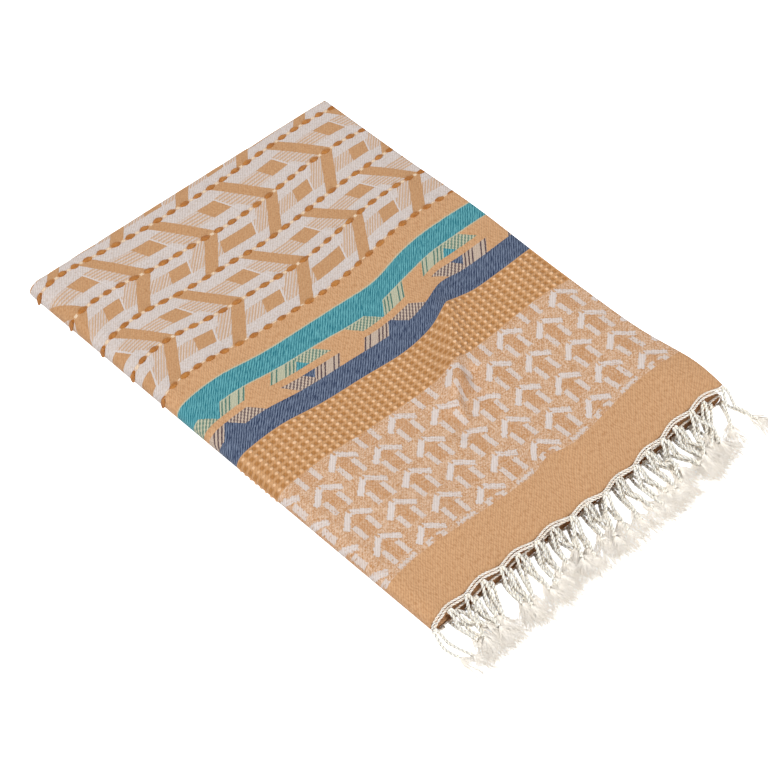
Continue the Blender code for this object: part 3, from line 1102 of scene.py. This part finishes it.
def ways_from(x, chance):
    """The ways that two cords take from a place in front of the hem."""
    common = chance.gauss(0.0, 0.20)
    turned_in = 0.0
    if abs(x - FOLDED_WIDTH / 2) > SIDE_POSTS:
        turned_in = copysign(TURNED_IN, FOLDED_WIDTH / 2 - x)
    return [
        Way(
            heading=common + side * chance.uniform(*CORD_ANGLES) + turned_in,
            bend=chance.uniform(*CORD_BENDS) - side * 0.15 + turned_in,
            length=chance.uniform(*CORD_LENGTHS),
        )
        for side in (-1, 1)
    ]


def lay_cords():
    """Two cords from each knot, laid one after another from the lowest hem up.

    Knots that lie one above the other share their cords' ways, and the lower cords are shorter."""
    chance = Random(11)
    bed = Bed()
    ways = {}
    cords = []
    for knot in hem_knots():
        post = round((FOLDED_WIDTH - FIRST_KNOT - knot.point[0]) / (KNOT_PITCH / 2))
        post_x = FOLDED_WIDTH - FIRST_KNOT - post * KNOT_PITCH / 2
        if post not in ways:
            ways[post] = ways_from(post_x, chance)
        for side, way in zip((-1, 1), ways[post]):
            length = way.length * CORD_SHARES[run_at(knot.across)]
            heading = way.heading + (post_x - knot.point[0]) / way.length
            start = knot.point + (side * CORD_ASIDE, 0.0, 0.0)
            route = laid_route(bed, start, heading, way.bend, length, CORD_RADIUS * 1.05)
            cords.append(Cord(knot.hem, route))
    return cords


def hem_yarn_routes():
    """Two yarns along the upper hem from knot to knot; the looser one ends at the left fold."""
    across = np.arange(0.0005, ACROSS.length, 0.0012)
    slack = 1 - np.abs(np.sin(pi * (across - FIRST_KNOT) / KNOT_PITCH)) ** 0.6
    tight = placed(across, -0.0006 - 0.0014 * slack, 0.0004)
    loose = placed(across, -0.0024 - (KNOT_REACH - 0.0024) * slack, -0.0006)
    loose = loose[across < LEFT_FOLD_END]
    for route in (tight, loose):
        route[:, 2] = np.maximum(route[:, 2], HEM_YARN_RADIUS * 1.1)
    return tight, loose


def add_polylines(name, routes):
    """An object of all routes, each a row of points with edges between them."""
    edges = []
    count = 0
    for route in routes:
        edges += [(count + step, count + step + 1) for step in range(len(route) - 1)]
        count += len(route)
    return add_mesh_object(name, np.concatenate(routes), edges)


def twisted_tree():
    """A cord of two strands twisted round each other along every polyline."""
    tree = GeometryTree("twisted_yarn", "Radius", "Pitch", "Step")
    curves = tree.node("GeometryNodeMeshToCurve", {"Mesh": tree.group_input})
    steps = {"Curve": curves, "Length": tree.size("Step")}
    even = tree.node("GeometryNodeResampleCurve", steps, mode="LENGTH")
    twist = tree.node("GeometryNodeSplineParameter", output="Length") / tree.size("Pitch") * (2 * pi)
    tilted = tree.node("GeometryNodeSetCurveTilt", {"Curve": even, "Tilt": twist})
    strands = []
    for side in (-1, 1):
        strand = tree.circle(8, tree.size("Radius") * 0.70)
        aside = tree.vector(tree.size("Radius") * (0.33 * side))
        inputs = {"Geometry": strand, "Translation": aside}
        strands.append(tree.node("GeometryNodeTransform", inputs))
    return tree.finish(tree.swept(tilted, tree.joined(strands), caps=True))


def knot_tree():
    """An overhand knot at every point, drawn tight."""
    tree = GeometryTree("overhand_knots", "Size")
    angle = tree.node("GeometryNodeSplineParameter") * (2 * pi)
    x = angle.math("SINE") + (angle * 2).math("SINE") * 2
    y = angle.math("COSINE") - (angle * 2).math("COSINE") * 2
    z = (angle * 3).math("SINE") * -1.1
    loop = tree.moved(tree.circle(22, 1.0), Position=tree.vector(x, y, z))
    knot = tree.swept(loop, tree.circle(6, 1.15))
    angles = tree.random((-3.0, -3.0, -3.0), (3.0, 3.0, 3.0), 7)
    turn = tree.node("FunctionNodeEulerToRotation", {0: angles})
    size = tree.size("Size") / 8.3
    return tree.finish(tree.copies(tree.group_input, knot, turn, tree.vector(size, size, size)))


def tail_tree():
    """A tuft of loose fibres at every point, that fans out along its heading and sinks to the floor."""
    tree = GeometryTree("loose_tails", "Fibres", "Length", "Spread", "Thickness")
    thickness = tree.size("Thickness")
    amount = {"Geometry": tree.group_input, "Amount": tree.size("Fibres")}
    roots = tree.node("GeometryNodeDuplicateElements", amount, domain="POINT")
    fibre = tree.arch((0.0, 0.0, 0.0), (0.5, 0.0, 0.0), (1.0, 0.0, 0.0))
    fan = {"Vector": tree.attribute("heading"), "Angle": tree.random(-1.0, 1.0, 21) * tree.size("Spread")}
    fanned = tree.node("ShaderNodeVectorRotate", fan, rotation_type="Z_AXIS")
    length = tree.size("Length") * tree.random(0.55, 1.0, 22)
    turn = tree.facing("XZ", fanned, (0.0, 0.0, 1.0))
    fibres = tree.copies(roots, fibre, turn, tree.vector(length, length, length))
    real = tree.node("GeometryNodeRealizeInstances", {"Geometry": fibres})
    along = tree.node("GeometryNodeSplineParameter")
    sway = tree.scaled(tree.random((-1.0, -1.0, -1.0), (1.0, 1.0, 1.0), 23), along * 0.0016)
    drop = tree.attribute("drop", "FLOAT") * along * (2 - along)
    both = {0: sway, 1: tree.vector(0.0, 0.0, drop)}
    sunk = tree.moved(real, Offset=tree.node("ShaderNodeVectorMath", both, operation="SUBTRACT"))
    place = tree.split(tree.node("GeometryNodeInputPosition"))
    above = tree.vector(place, place.of("Y"), place.of("Z").math("MAXIMUM", thickness))
    kept = tree.moved(sunk, Position=above)
    return tree.finish(tree.swept(kept, tree.circle(3, thickness), scale=1.2 - along * 0.7))


# ---- The scene


def make_floor():
    """A pale studio floor that looks plain white, also where shadows fall on it."""
    material, graph = new_material("white_floor")
    seen = graph.node("ShaderNodeLightPath", output="Is Camera Ray")
    graph.surface({
        "Base Color": FLOOR_WHITE,
        "Roughness": 0.9,
        "Emission Color": graph.vector(seen, seen, seen),
        "Emission Strength": 1.0,
    })
    mesh = bpy.data.meshes.new("floor")
    builder = bmesh.new()
    bmesh.ops.create_grid(builder, x_segments=1, y_segments=1, size=4.0)
    builder.to_mesh(mesh)
    builder.free()
    mesh.materials.append(material)
    return add_object("floor", mesh)


def aim(thing, azimuth, elevation, distance, target=(0.0, 0.0, 0.0)):
    """Set a light or the camera to face a point; azimuth 0 is in front of the hem, 90 to its right."""
    turn = radians(azimuth)
    rise = radians(elevation)
    way = Vector((sin(turn) * cos(rise), -cos(turn) * cos(rise), sin(rise)))
    thing.location = Vector(target) + way * distance
    thing.rotation_euler = way.to_track_quat("Z", "Y").to_euler()


def add_light(name, size, power, **place):
    """A square soft light that faces the towel."""
    data = bpy.data.lights.new(name, "AREA")
    data.size = size
    data.energy = power
    aim(add_object(name, data), **place)


def add_camera():
    """The photograph's view: from the front left and above, with a long lens."""
    data = bpy.data.cameras.new("camera")
    data.sensor_width = 36.0
    data.lens = 94.73
    camera = add_object("camera", data)
    target = (-0.0195, -0.0081, 0.0)
    aim(camera, azimuth=-43.81, elevation=49.33, distance=1.4660, target=target)
    bpy.context.scene.camera = camera


def set_world():
    world = bpy.data.worlds.new("studio")
    world.use_nodes = True
    background = world.node_tree.nodes["Background"]
    background.inputs["Color"].default_value = (1.0, 1.0, 1.0, 1.0)
    background.inputs["Strength"].default_value = 0.42
    bpy.context.scene.world = world
    bpy.context.scene.view_settings.view_transform = "Standard"


add_camera()
set_world()
add_light("key_light", size=3.2, power=500.0, azimuth=-142.0, elevation=60.0, distance=8.0)
add_light("fill_light", size=3.0, power=225.0, azimuth=-8.0, elevation=9.0, distance=5.0)
floor = make_floor()

cloth = make_cloth([
    woven("hem_twill", hem_weave),
    woven("arrow_jacquard", arrow_weave),
    woven("waffle_weave", waffle_weave),
    woven("toothed_bands", tooth_weave),
    woven("chevron_jacquard", chevron_weave),
])
dashes = make_dashes(make_yarn_material("amber_floats", AMBER, AMBER_DARK))
beads = make_beads(make_yarn_material("cream_points", BEAD_CREAM, BEAD_CREAM_DARK))

yarn = make_yarn_material("natural_yarn", *YARN, depth=1.2 * MM)
fibre = make_yarn_material("loose_fibre", *FIBRE, sheen=0.4)
cords = lay_cords()
twisted = twisted_tree()
knotted = knot_tree()
loose = tail_tree()
tail_sizes = {"Fibres": 76, "Length": 25 * MM, "Spread": 0.72, "Thickness": 0.15 * MM}
pieces = {}
for hem in ("upper", "under"):
    routes = [cord.route for cord in cords if cord.hem == hem]
    source = add_polylines("fringe_cords_" + hem, routes)
    pieces[hem] = grown(source, twisted, yarn, Radius=CORD_RADIUS, Pitch=6.2 * MM, Step=0.8 * MM)
    ends = np.array([route[-1] for route in routes])
    before = np.array([route[-4] for route in routes])
    headings = unit((ends - before) * (1, 1, 0))
    drops = {"heading": headings, "drop": ends[:, 2]}
    source = add_mesh_object("fringe_tails_" + hem, ends + headings * MM, attributes=drops)
    pieces[hem + "_tails"] = grown(source, loose, fibre, **tail_sizes)

# The hem yarns' colours are painted shade: darker and warmer than the natural yarn of the cords
hem_yarn_painted_shade = make_yarn_material("hem_yarn_painted_shade", *HEM_YARN_PAINTED_SHADE, depth=1.0 * MM)
source = add_polylines("hem_yarns", hem_yarn_routes())
hem_yarns = grown(source, twisted, hem_yarn_painted_shade, Radius=HEM_YARN_RADIUS, Pitch=5.5 * MM, Step=1.0 * MM)
hem_points = [knot.point for knot in hem_knots()]
knot_points = np.concatenate((hem_points, [cord.route[-1] for cord in cords]))
knot_points[:, 2] = np.maximum(knot_points[:, 2], KNOT_SIZE / 2)
knots = grown(add_mesh_object("fringe_knots", knot_points), knotted, yarn, Size=KNOT_SIZE)

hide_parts("cloth")
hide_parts("fringe_upper")
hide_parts("fringe_under")
for piece in (cloth, dashes, beads):
    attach(piece, "root")
for piece in (*pieces.values(), hem_yarns, knots):
    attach(piece, "root")
